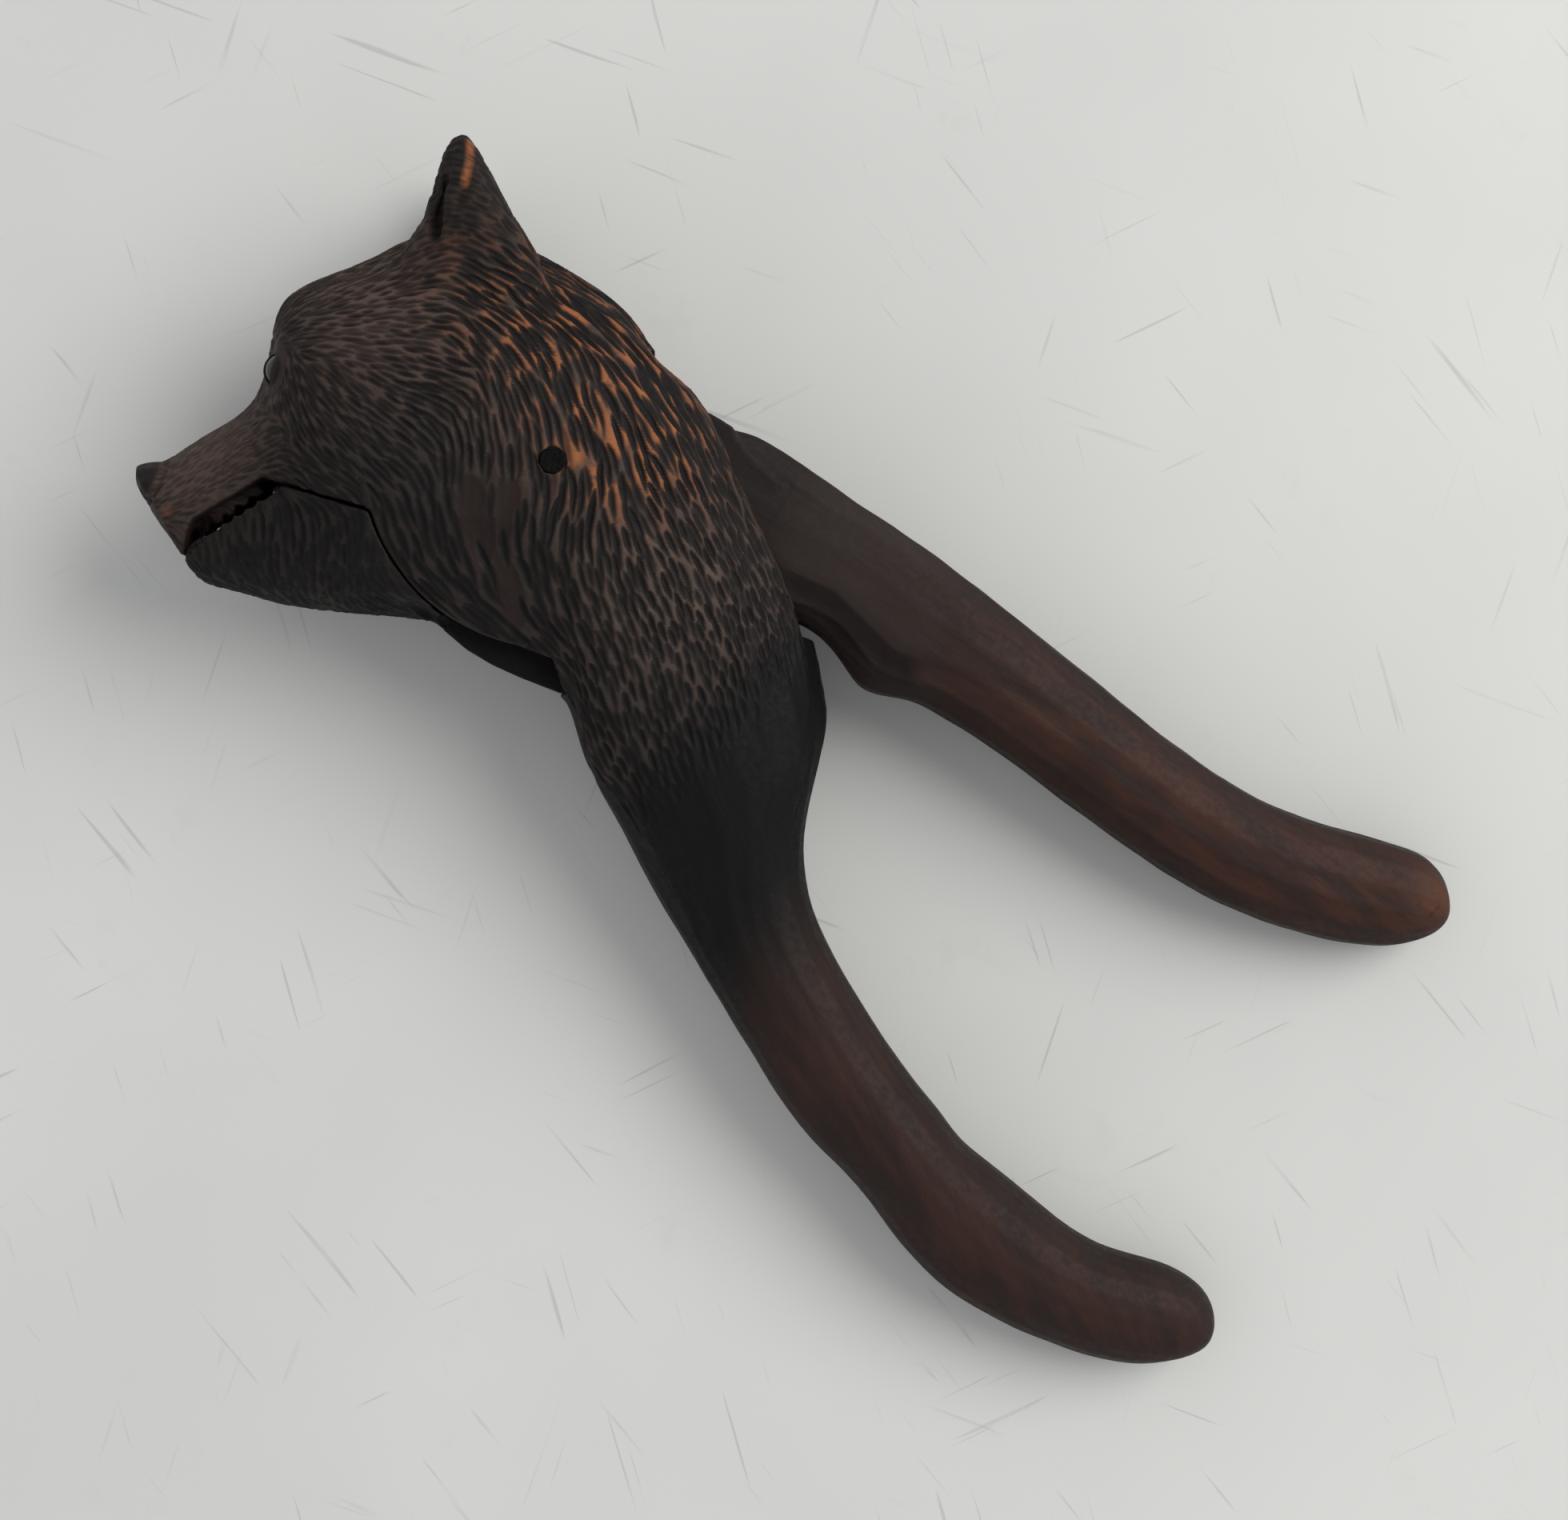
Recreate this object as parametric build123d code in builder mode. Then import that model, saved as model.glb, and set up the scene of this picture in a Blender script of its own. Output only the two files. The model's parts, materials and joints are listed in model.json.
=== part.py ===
from build123d import *
from math import cos, pi, radians, sin, sqrt
import os

# A carved wooden nutcracker in the form of a bear's head, lying on its side.
# It is modelled about its pivot: the origin is the middle of the pin, X runs towards
# the handles, Y towards the ears and Z is the pin's axis. At the end every piece is
# moved together to the way it lies: the floor is XY, +Z is up.

# Driving sizes in millimetres and degrees
head_thickness = 40.0
slot_width = 15.4
tongue_side_gap = 0.5
tongue_thickness = slot_width - 2 * tongue_side_gap
lower_grip_thickness = 16.2
upper_grip_thickness = 16.2
opening_angle = 25.0

# How the carved forms are drawn
head_sides = 20
upper_grip_sides = 14
ear_sides = 12
ear_fullness = 2.2

# The pivot
pin_diameter = 3.6
pin_length = 31.0
pin_press_gap = 0.02
pin_running_gap = 0.08
plug_face_depth = 0.9

# The round seam between the jaw and the cheeks turns about the pin
seam_gap = 0.3
seam_radius = 26.7
seam_peak_angle = 232.8
seam_peak_gap_angle = 0.3
throat_clear_margin = 1.0
jaw_rear_angle = 271.0

# The tongue between the cheeks
hub_radius = 13.0
hub_gap = 0.6
tongue_end_radius = 33.2
tongue_end_gap = 0.6
tongue_end_angle = 309.5
slot_back_gap = 0.8

# The hollow that takes the nut, shared by the palate and the jaw
nut_hollow_radius = 7.6
nut_hollow_centre = (-26.0, -30.2)
nut_hollow_sides = 12
nut_hollow_levels = (-0.96, -0.7, -0.25, 0.25, 0.7, 0.96)

# The eyes
eye_diameter = 5.2
eye_depth = 1.6
eye_centre = (-38.4, -13.0, 9.9)
eye_direction = (-0.8, -0.3, 0.5)
eye_sides = 16
eye_dome_angles = (0.0, 40.0, 75.0)
eye_socket_gap = 0.02

# What it lies on: one cheek and both grips, each worn flat by this much
worn_depth = 0.3

# Farther from the pin than any part of the head
past_outline = 60.0

head_half = head_thickness / 2
lower_grip_half = lower_grip_thickness / 2
upper_grip_half = upper_grip_thickness / 2
throat_clear_angle = jaw_rear_angle + opening_angle + throat_clear_margin
jaw_peak_angle = seam_peak_angle + seam_peak_gap_angle

# The three places that it lies on, with the half thickness there
cheek_rest = (1.0, -1.5, -(head_half * 0.975 - worn_depth))
lower_grip_rest = (141.0, -50.5, -(lower_grip_half * 0.95 - worn_depth))
upper_grip_rest = (134.0, 24.2, -(upper_grip_half * 0.90 - worn_depth))

# Ribs of the muzzle's blunt end: the place of the rib's end on the back, its end on
# the jaw's side, half its thickness as a share of half the head's, and how full its
# corners are
muzzle_ribs = [
    ((-44.7, -39.7), (-36.3, -42.9), 0.17, 2.2),
    ((-47.0, -38.2), (-34.2, -43.2), 0.32, 2.3),
]

# Ribs of the skull, from the muzzle back to the neck
skull_ribs = [
    ((-48.0, -36.8), (-32.1, -44.1), 0.42, 2.4),
    ((-46.5, -35.0), (-29.3, -44.3), 0.48, 2.4),
    ((-44.2, -30.8), (-24.1, -42.1), 0.55, 2.4),
    ((-42.0, -24.6), (-18.4, -39.8), 0.64, 2.3),
    ((-40.6, -18.4), (-12.2, -36.2), 0.77, 2.2),
    ((-43.1, -11.6), (-6.6, -32.6), 0.91, 2.2),
    ((-45.6, -4.6), (-1.2, -29.4), 0.98, 2.3),
    ((-43.0, 2.4), (4.0, -28.7), 1.0, 2.3),
    ((-39.0, 9.9), (9.6, -28.4), 1.0, 2.3),
    ((-33.5, 18.4), (14.8, -27.4), 1.0, 2.3),
    ((-24.5, 23.0), (18.8, -26.6), 0.99, 2.3),
    ((-14.0, 24.9), (22.8, -27.0), 0.965, 2.5),
    ((-3.1, 24.5), (27.2, -29.5), 0.93, 3.0),
    ((8.2, 22.4), (32.0, -32.3), 0.885, 3.2),
]

# Ribs of the neck, which go on from the last rib of the skull
neck_ribs = [
    ((19.4, 18.4), (37.0, -34.8), 0.845, 2.6),
    ((30.5, 13.2), (42.0, -37.0), 0.79, 2.4),
    ((40.6, 7.6), (46.5, -39.2), 0.73, 2.4),
    ((49.0, 1.2), (50.5, -41.0), 0.665, 2.3),
    ((55.5, -5.6), (53.6, -42.3), 0.60, 2.3),
    ((59.6, -14.4), (56.8, -43.5), 0.53, 2.3),
    ((64.2, -22.4), (60.8, -45.1), 0.465, 2.3),
]

# Ribs of the lower grip, with half the thickness as a share of half the grip's
lower_grip_ribs = [
    ((71.4, -28.9), (66.6, -47.4), 1.06, 2.3),
    ((82.0, -34.0), (76.6, -51.4), 1.02, 2.3),
    ((97.1, -39.3), (92.6, -56.4), 1.0, 2.3),
    ((114.0, -42.9), (111.0, -60.4), 1.0, 2.3),
    ((130.0, -43.3), (130.5, -61.2), 1.0, 2.3),
    ((143.0, -40.5), (145.9, -57.1), 0.92, 2.3),
    ((151.4, -38.3), (153.6, -52.8), 0.81, 2.3),
    ((156.7, -39.8), (157.4, -49.0), 0.62, 2.2),
    ((159.3, -43.6), (159.2, -45.8), 0.22, 2.0),
]

# Ribs of the upper grip, which leaves the slot as a flat board and turns round
upper_grip_ribs = [
    ((13.0, 18.6), (16.0, 3.0), 0.80, 3.6),
    ((20.5, 22.0), (23.0, 0.5), 0.908, 4.0),
    ((31.0, 23.2), (33.0, 0.6), 0.908, 4.0),
    ((42.0, 23.9), (43.0, 4.1), 0.92, 3.8),
    ((50.0, 24.5), (50.6, 3.8), 0.96, 3.6),
    ((55.4, 24.8), (56.0, 2.2), 1.0, 3.2),
    ((62.0, 24.9), (62.4, 4.7), 1.02, 2.8),
    ((70.0, 24.9), (70.0, 6.4), 1.02, 2.4),
    ((80.0, 24.8), (80.0, 7.1), 1.0, 2.3),
    ((95.0, 24.5), (95.0, 7.4), 1.0, 2.3),
    ((106.0, 24.8), (107.4, 8.0), 1.0, 2.3),
    ((117.3, 26.5), (120.1, 9.7), 1.0, 2.3),
    ((126.7, 29.6), (131.7, 13.3), 0.97, 2.3),
    ((135.5, 33.2), (140.9, 17.8), 0.87, 2.3),
    ((142.2, 34.4), (146.6, 22.4), 0.76, 2.2),
    ((146.2, 32.6), (149.0, 26.8), 0.5, 2.1),
    ((148.1, 30.6), (148.8, 29.2), 0.2, 2.0),
]

# Ribs of one ear, from inside the skull to the tip: front end, back end, middle
# across the head and half thickness
ear_ribs = [
    ((-31.5, 0.5), (-9.5, 7.5), 9.0, 5.4),
    ((-35.4, 9.8), (-13.8, 19.6), 10.0, 6.2),
    ((-35.9, 16.4), (-20.4, 22.9), 11.2, 6.0),
    ((-37.7, 21.4), (-26.4, 25.1), 12.0, 5.2),
    ((-39.0, 25.5), (-31.6, 27.4), 12.8, 4.3),
    ((-39.2, 27.8), (-35.2, 28.9), 13.2, 2.5),
    ((-38.6, 29.0), (-37.3, 29.4), 13.4, 0.9),
]

# The mouth and the seam of the jaw, seen from the side
seam_front = (-28.4, -25.7)
lip_points = [(-31.2, -26.8), (-33.8, -32.6), (-35.9, -37.6), (-35.6, -39.6), (-34.3, -42.2)]
jaw_seam_front = (-28.3, -26.05)
jaw_front = [(-33.2, -40.4), (-33.6, -42.2)]
throat_line = [(12.6, -23.6), (17.0, -22.3), (21.6, -25.6)]

# The teeth: the upper row stands round the palate, a little inside the lip, and the
# lower row is notched into the rim of the jaw round the floor of the mouth
teeth_count = 5
teeth_half_width = 8.6
teeth_thickness = 2.4
upper_notch = 0.9
lower_notch = 0.55
arch_fullness = 2.4
arch_sides = 16
teeth_roots = [(-33.6, -28.2), (-37.7, -39.4)]
upper_tips = [(-30.1, -28.2), (-34.2, -39.4)]
lower_tips = [(-28.7, -28.2), (-32.4, -37.6)]
mouth_floor_half_width = 8.0
mouth_floor_front = (-31.9, -39.6)
mouth_floor_depth = 1.6

# The tongue and its slot, seen from the side
handle_top = [(0.0, 13.0), (5.5, 18.6), (12.6, 20.0), (17.6, 21.0), (20.5, 18.5), (28.0, 18.5)]
tongue_lower_edge = [(14.9, -27.4), (10.6, -28.4), (6.3, -28.9), (0.4, -28.6), (-8.0, -31.0)]
tongue_front = [(-12.8, -2.3), (-17.6, -21.0), (-19.0, -29.0)]
tongue_hub_side = 140.0
tongue_throat_side = -6.0
tongue_root = (29.0, 5.0)
slot_front = [(-13.4, -2.3), (-18.3, -21.2), (-20.0, -27.0)]
slot_hub_side = 153.0
slot_rear_top = -3.2
slot_rear_foot = -56.0
slot_floor = [(33.75, -1.9), (46.0, 3.4), (62.0, 10.3)]


def at_angle(radius, angle):
    """A point on a circle about the pin."""
    return Vector(radius, 0, 0).rotate(Axis.Z, angle)


def turn_arc(radius, start_angle, end_angle):
    """An arc about the pin, drawn in the line being built."""
    middle = (start_angle + end_angle) / 2
    return ThreePointArc(
        at_angle(radius, start_angle), at_angle(radius, middle), at_angle(radius, end_angle)
    )


def notched_line(start, end, teeth, notch):
    """Points along a row of teeth, with a notch cut in between each two."""
    start, end = Vector(*start), Vector(*end)
    run = end - start
    inward = run.normalized().rotate(Axis.Z, -90) * notch
    points = [start]
    for tooth in range(1, teeth):
        share = tooth / teeth
        gap = notch / run.length
        points += [
            start + run * (share - gap),
            start + run * share + inward,
            start + run * (share + gap),
        ]
    return points + [end]


def dental_arch(back, front, half_width):
    """The oval that a row of teeth stands on, round from the back of the mouth."""
    mirrored_front = Vector(*back) * 2 - Vector(*front)
    far_end = (mirrored_front.X, mirrored_front.Y)
    return carved_rib(far_end, front, half_width, arch_fullness, arch_sides)


def floor_plane():
    """The floor under the three places that the object lies on."""
    corner = Vector(*cheek_rest)
    up = (Vector(*lower_grip_rest) - corner).cross(Vector(*upper_grip_rest) - corner).normalized()
    along = Vector(1, 0, 0) - up * up.X
    return Plane(origin=corner, x_dir=along, z_dir=up)


def rib_plane(back, front, across=0.0):
    """The plane of a rib, square to the middle plane and centred on the rib."""
    start = Vector(*back, across)
    end = Vector(*front, across)
    along = end - start
    return Plane(origin=(start + end) * 0.5, x_dir=along, z_dir=along.cross(Vector(0, 0, 1)))


def oval_points(back, front, half_thickness, fullness, sides):
    """Points round a rib, from its back end over the near side: a full oval."""
    half_length = (Vector(*front) - Vector(*back)).length / 2
    points = []
    for side in range(sides):
        turn = 2 * pi * side / sides
        along, out = cos(turn), sin(turn)
        reach = (abs(along) ** fullness + abs(out) ** fullness) ** (-1 / fullness)
        points.append((-along * reach * half_length, out * reach * half_thickness))
    return points


def carved_rib(back, front, half_thickness, fullness, sides, across=0.0):
    """One rib across the middle plane, cut in as many flats as a carver's knife leaves."""
    with BuildSketch(rib_plane(back, front, across)) as outline:
        with BuildLine():
            Polyline(oval_points(back, front, half_thickness, fullness, sides), close=True)
        make_face()
    return outline.sketch


def carved_ribs(ribs, half_thickness, sides):
    """A row of ribs whose thickness is a share of the given half thickness."""
    return [carved_rib(*ends, share * half_thickness, full, sides) for *ends, share, full in ribs]


def eye_bead(gap):
    """One glass bead with a domed face, or with a gap the socket that it sits in."""
    radius = eye_diameter / 2 + gap
    levels = [(-eye_depth - gap, radius)]
    for angle in eye_dome_angles:
        levels.append((radius * sin(radians(angle)), radius * cos(radians(angle))))
    face = Plane(origin=eye_centre, z_dir=eye_direction)
    with BuildPart() as bead:
        for height, level_radius in levels:
            with BuildSketch(face.offset(height)):
                RegularPolygon(level_radius, eye_sides)
        loft(ruled=True)
    return bead.part


floor = floor_plane()

# The bear in two lofts that meet at the last rib of the skull, each run past it
skull_forms = carved_ribs(skull_ribs, head_half, head_sides)
neck_forms = carved_ribs(neck_ribs, head_half, head_sides)
lower_grip_forms = carved_ribs(lower_grip_ribs, lower_grip_half, head_sides)
upper_grip_forms = carved_ribs(upper_grip_ribs, upper_grip_half, upper_grip_sides)
ear_forms = [
    carved_rib(*ends, half, ear_fullness, ear_sides, across) for *ends, across, half in ear_ribs
]
muzzle_forms = carved_ribs(muzzle_ribs, head_half, head_sides)
meeting = rib_plane(*skull_ribs[-1][:2])

with BuildPart() as skull:
    loft(skull_forms + neck_forms[:1])
    split(bisect_by=meeting, keep=Keep.TOP)
    loft(muzzle_forms + skull_forms[:1], ruled=True)

with BuildPart() as neck:
    loft(skull_forms[-2:] + neck_forms + lower_grip_forms)
    split(bisect_by=meeting, keep=Keep.BOTTOM)

with BuildPart() as ears:
    loft(ear_forms, ruled=True)
    mirror(about=Plane.XY)

# The whole bear in one form, as it is carved before the jaw is sawn free
with BuildPart() as bear:
    add(skull.part)
    add(neck.part)

# The room that the jaw takes and sweeps, right across the head
with BuildPart() as jaw_room:
    cheek_radius = seam_radius - seam_gap / 2
    with BuildSketch(Plane.XY):
        with BuildLine():
            turn_arc(cheek_radius, throat_clear_angle, seam_peak_angle)
            Polyline(
                at_angle(cheek_radius, seam_peak_angle),
                seam_front,
                *lip_points,
                (lip_points[-1][0], -past_outline),
                (throat_line[-1][0], -past_outline),
                *reversed(throat_line),
                at_angle(cheek_radius, throat_clear_angle),
            )
        make_face()
    extrude(amount=head_half + worn_depth, both=True)

# The sawn slot between the cheeks, open at the back of the head and at the throat;
# its back clears the top of the tongue at the full opening
with BuildPart() as slot:
    slot_end_radius = tongue_end_radius + tongue_end_gap
    slot_back = [
        Vector(*point).rotate(Axis.Z, opening_angle) - Vector(slot_back_gap, 0)
        for point in handle_top[:3]
    ]
    with BuildSketch(Plane.XY):
        with BuildLine():
            ThreePointArc(slot_front[0], at_angle(hub_radius + hub_gap, slot_hub_side), slot_back[0])
            Polyline(
                *slot_back,
                (slot_back[-1].X, past_outline),
                (slot_floor[-1][0], past_outline),
                *reversed(slot_floor),
                at_angle(slot_end_radius, slot_rear_top),
            )
            turn_arc(slot_end_radius, slot_rear_top, slot_rear_foot)
            Polyline(
                at_angle(slot_end_radius, slot_rear_foot),
                (at_angle(slot_end_radius, slot_rear_foot).X, -past_outline),
                (slot_front[-1][0], -past_outline),
                *reversed(slot_front),
            )
        make_face()
    extrude(amount=slot_width / 2, both=True)

# The upper teeth, a notched row round the palate
with BuildPart() as upper_teeth:
    with BuildSketch(Plane.XY):
        with BuildLine():
            tips = notched_line(*upper_tips, teeth_count, upper_notch)
            Polyline(teeth_roots[0], *tips, teeth_roots[1], close=True)
        make_face()
    extrude(amount=head_half, both=True)
    arch = dental_arch(*upper_tips, teeth_half_width)
    extrude(arch, amount=head_half, both=True, mode=Mode.INTERSECT)
    arch_run = Vector(*upper_tips[1]) - Vector(*upper_tips[0])
    inner_front = Vector(*upper_tips[1]) - arch_run.normalized() * teeth_thickness
    palate = dental_arch(
        upper_tips[0], (inner_front.X, inner_front.Y), teeth_half_width - teeth_thickness
    )
    extrude(palate, amount=head_half, both=True, mode=Mode.SUBTRACT)

# The floor of the mouth, sunk inside the rim of the jaw
with BuildPart() as mouth_floor:
    extrude(
        dental_arch(lower_tips[0], mouth_floor_front, mouth_floor_half_width),
        amount=mouth_floor_depth,
        both=True,
    )

# The room for the nut between the palate and the jaw
with BuildPart() as nut_room:
    for share in nut_hollow_levels:
        with BuildSketch(Plane.XY.offset(share * nut_hollow_radius)):
            with Locations(nut_hollow_centre):
                RegularPolygon(nut_hollow_radius * sqrt(1 - share**2), nut_hollow_sides)
    loft(ruled=True)

# The bore for the pin, close in the head and free in the jaw lever
with BuildPart() as head_bore:
    Cylinder(pin_diameter / 2 + pin_press_gap, 2 * head_thickness)

# The glass eyes, one bead on each side, and their sockets
with BuildPart() as eye_left:
    add(eye_bead(0))

with BuildPart() as eye_right:
    mirror(eye_left.part, about=Plane.XY)

with BuildPart() as eye_sockets:
    add(eye_bead(eye_socket_gap))
    mirror(about=Plane.XY)

# The head lever: upper jaw, skull, ears, neck and lower grip in one piece of wood
with BuildPart() as head_lever:
    add(bear.part)
    add(ears.part)
    add(jaw_room.part, mode=Mode.SUBTRACT)
    add(upper_teeth.part)
    for room in (slot, nut_room, head_bore, eye_sockets):
        add(room.part, mode=Mode.SUBTRACT)
    split(bisect_by=floor, keep=Keep.TOP)

# The jaw's side of the seam, with its gap
with BuildPart() as jaw_region:
    jaw_radius = seam_radius + seam_gap / 2
    with BuildSketch(Plane.XY):
        with BuildLine():
            turn_arc(jaw_radius, jaw_rear_angle, jaw_peak_angle)
            Polyline(
                at_angle(jaw_radius, jaw_peak_angle),
                jaw_seam_front,
                *notched_line(*lower_tips, teeth_count, lower_notch),
                *jaw_front,
                (jaw_front[-1][0], -past_outline),
                at_angle(past_outline, jaw_rear_angle),
                at_angle(jaw_radius, jaw_rear_angle),
            )
        make_face()
    extrude(amount=head_half + worn_depth, both=True)

with BuildPart() as jaw:
    add(bear.part)
    add(jaw_region.part, mode=Mode.INTERSECT)
    add(mouth_floor.part, mode=Mode.SUBTRACT)

# The flat tongue that fills the slot, from the jaw round the hub to the upper grip
with BuildPart() as tongue:
    throat_side = at_angle(tongue_end_radius, tongue_throat_side)
    with BuildSketch(Plane.XY):
        with BuildLine():
            ThreePointArc(tongue_front[0], at_angle(hub_radius, tongue_hub_side), handle_top[0])
            Polyline(*handle_top, tongue_root, throat_side)
            turn_arc(tongue_end_radius, tongue_throat_side, tongue_end_angle - 360)
            Polyline(
                at_angle(tongue_end_radius, tongue_end_angle),
                *tongue_lower_edge,
                *reversed(tongue_front),
            )
        make_face()
    extrude(amount=tongue_thickness / 2, both=True)

# The jaw lever: lower jaw, tongue, hub and upper grip in one piece of wood
with BuildPart() as jaw_lever:
    loft(upper_grip_forms)
    add(tongue.part)
    add(jaw.part)
    add(nut_room.part, mode=Mode.SUBTRACT)
    Cylinder(pin_diameter / 2 + pin_running_gap, head_thickness, mode=Mode.SUBTRACT)
    split(bisect_by=floor, keep=Keep.TOP)

# The pin, and the filler that hides each of its ends
with BuildPart() as pivot_pin:
    Cylinder(pin_diameter / 2, pin_length)

with BuildPart() as pin_plug_left:
    with Locations((0, 0, pin_length / 2)):
        Cylinder(
            pin_diameter / 2,
            head_half - plug_face_depth - pin_length / 2,
            align=(Align.CENTER, Align.CENTER, Align.MIN),
        )

with BuildPart() as pin_plug_right:
    mirror(pin_plug_left.part, about=Plane.XY)

# Every piece moves together to the way the object lies, centred over the floor
pieces = {
    "head_lever": head_lever.part,
    "jaw_lever": jaw_lever.part,
    "pivot_pin": pivot_pin.part,
    "pin_plug_left": pin_plug_left.part,
    "pin_plug_right": pin_plug_right.part,
    "eye_left": eye_left.part,
    "eye_right": eye_right.part,
}
laying_down = floor.location.inverse()
around = Compound([piece.moved(laying_down) for piece in pieces.values()]).bounding_box()
centring = Location((-around.center().X, -around.center().Y, 0))

os.makedirs("parts", exist_ok=True)
for name, piece in pieces.items():
    placed = piece.moved(centring * laying_down)
    placed.label = name
    export_step(placed, f"parts/{name}.step")

print("size", around.size)
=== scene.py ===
import json
import math
import random

import bmesh
import bpy
import numpy as np
from mathutils import Matrix, Vector
from mathutils.kdtree import KDTree


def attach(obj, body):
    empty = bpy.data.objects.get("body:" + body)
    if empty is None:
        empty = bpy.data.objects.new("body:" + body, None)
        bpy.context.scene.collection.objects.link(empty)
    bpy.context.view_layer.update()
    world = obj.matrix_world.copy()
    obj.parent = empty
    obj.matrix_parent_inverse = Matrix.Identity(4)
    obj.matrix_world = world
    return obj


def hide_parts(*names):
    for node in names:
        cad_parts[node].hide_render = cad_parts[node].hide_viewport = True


# A carved wooden nutcracker in the form of a bear's head, lying on a pale table.
# The carving is worked in millimetres about the pivot: U runs towards the handles,
# V towards the ears and W out of the left cheek, which is the side that shows.
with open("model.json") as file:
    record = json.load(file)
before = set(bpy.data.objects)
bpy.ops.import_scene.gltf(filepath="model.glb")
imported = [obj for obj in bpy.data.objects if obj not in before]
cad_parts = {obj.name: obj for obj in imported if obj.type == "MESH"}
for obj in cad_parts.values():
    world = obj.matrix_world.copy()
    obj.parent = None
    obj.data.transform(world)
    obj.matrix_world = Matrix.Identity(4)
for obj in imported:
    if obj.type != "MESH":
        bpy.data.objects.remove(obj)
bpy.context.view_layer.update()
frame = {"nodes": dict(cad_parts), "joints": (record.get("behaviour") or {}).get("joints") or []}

mm_per_m = 1000.0
hinge = frame["joints"][0]
pivot = Vector(hinge["pos_m"])
axis_w = Vector(hinge["axis"]).normalized()
axis_u = Vector((axis_w.z, 0.0, -axis_w.x)).normalized()
axis_v = axis_w.cross(axis_u)
turn_in = np.array([axis_u, axis_v, axis_w])
pivot_at = np.array(pivot)

# How finely the levers and the plugs are carved, in millimetres
rough_voxel = 0.34
head_voxel = 0.24
jaw_voxel = 0.27
plug_voxel = 0.11

# How the narrow flats of the CAD mesh are rounded: the gap in metres under which
# vertices are one, the turns, the two shares of each turn, and the bend between
# neighbours that makes an edge sharp, with so many rings of vertices left round it
weld_gap = 1e-6
rounding_turns = 40
rounding_shares = (0.5, -0.53)
sharp_bend = 0.12
edge_rings = 3

# Seeds of the random draws
head_stroke_seed, head_wave_seed = 7, 3
jaw_stroke_seed, jaw_wave_seed = 11, 5
rubbing_seed = 21

# Places that the carving is measured from, in millimetres
slot_half = 7.7
slot_line_v = [-29.0, -21.2, -2.3, 5.0, 12.0, 19.2, 24.0]
slot_line_u = [-20.5, -18.3, -13.4, -12.4, -6.3, -3.7, 1.9]
slot_end_u = 62.0
seam_radius = 26.7
seam_half = 0.45
seam_top_v = -18.0
seam_ends_u = (-30.0, 13.0)
fur_end_u = 42.0
fur_fade = 7.0
fur_slope = 0.12
neck_smooth_u = (37.0, 45.0)
neck_end_u = (60.0, 80.0)
grip_wear_and_sheen_u = (42.0, 85.0)
corner_half = (8.2, 12.0)
mouth_up = np.array([0.939, -0.344, 0.0])

# How far the fur, the unevenness and the painted shade of the slot keep off the slot's faces
fur_clear_u, fur_clear_w = 0.4, 0.35
uneven_front_u, uneven_clear_w = -22.0, 0.4
slot_dark_u, slot_dark_w = -20.0, 0.3

# Limits of the regions on the head, and how far faces of each must turn to its side
cheek_from_w = 9.0
ear_from_v, ear_from_w, ear_turn = 12.0, 7.0, -2.0
pad_end_u = -42.5
nostril_w = (1.4, 6.5)
palate_end_u, palate_end_v, palate_turn = -27.0, -24.0, 0.3

# Limits of the regions on the jaw
jaw_clear = 0.5
jaw_fur_end_u = 2.0
lips_end_v, lips_turn = -27.0, 0.35
lips_dark_u, lips_dark_v = -24.0, -26.0
tongue_front_u, tongue_reach_back = -3.0, 37.0
throat_end_v = -14.0
grip_from_u = 30.0
grip_root_u = (30.0, 44.0)
grip_bare_u, grip_bare_end_u = (24.0, 34.0), (48.0, 66.0)

# The lie of the fur seen from the left side: place U, V and direction in degrees
fur_lie = [
    (-42.2, -2.1, 62), (-37.5, 3.9, 58), (-32.7, 11.2, 52), (-36.4, -6.0, 32),
    (-30.3, -1.2, 32), (-25.5, 5.4, 32), (-35.9, -14.1, -22), (-29.9, -11.9, -10),
    (-24.8, -8.4, 2), (-21.5, -3.2, 18), (-18.1, 1.2, 22), (-30.1, -18.1, -18),
    (-23.4, -15.8, -8), (-18.1, -11.7, -2), (-24.2, -22.1, 8), (-21.5, 11.4, 2),
    (-19.0, 6.2, -12), (-13.8, 3.1, -32), (-10.6, -3.0, -42), (-20.7, 17.7, 8),
    (-12.7, 18.9, -12), (-6.0, 20.7, -12), (1.6, 21.1, -14), (9.9, 18.7, -18),
    (-3.6, 10.0, -34), (3.2, 10.6, -30), (11.3, 11.2, -24), (-0.9, 0.7, -44),
    (6.0, 1.3, -48), (7.6, 7.3, -40), (15.5, 8.9, -24), (23.1, 8.9, -20),
    (7.3, -4.3, -62), (13.3, -4.5, -42), (17.1, 0.9, -24), (26.2, 4.0, -24),
    (32.3, 4.5, -30), (-0.8, -8.4, -62), (-7.4, -9.1, -58), (-6.7, -15.6, -42),
    (25.6, -6.5, -30), (21.2, -15.6, -30), (36.4, 1.8, -34), (24.8, -23.9, -38),
    (33.2, -13.6, -36), (40.9, -4.8, -38), (8.5, -16.8, -38), (1.7, -19.2, -32),
    (5.5, -24.5, -12), (13.6, -24.1, -8), (-2.3, -25.1, -22), (-41.6, -32.2, 68),
    (-38.5, -26.9, 66), (-33.1, -22.7, 48), (-27.1, -38.3, -52), (-24.0, -33.0, -58),
    (-18.1, -30.2, -62), (-13.7, -26.8, -58), (-8.6, -24.2, -38),
]

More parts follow.
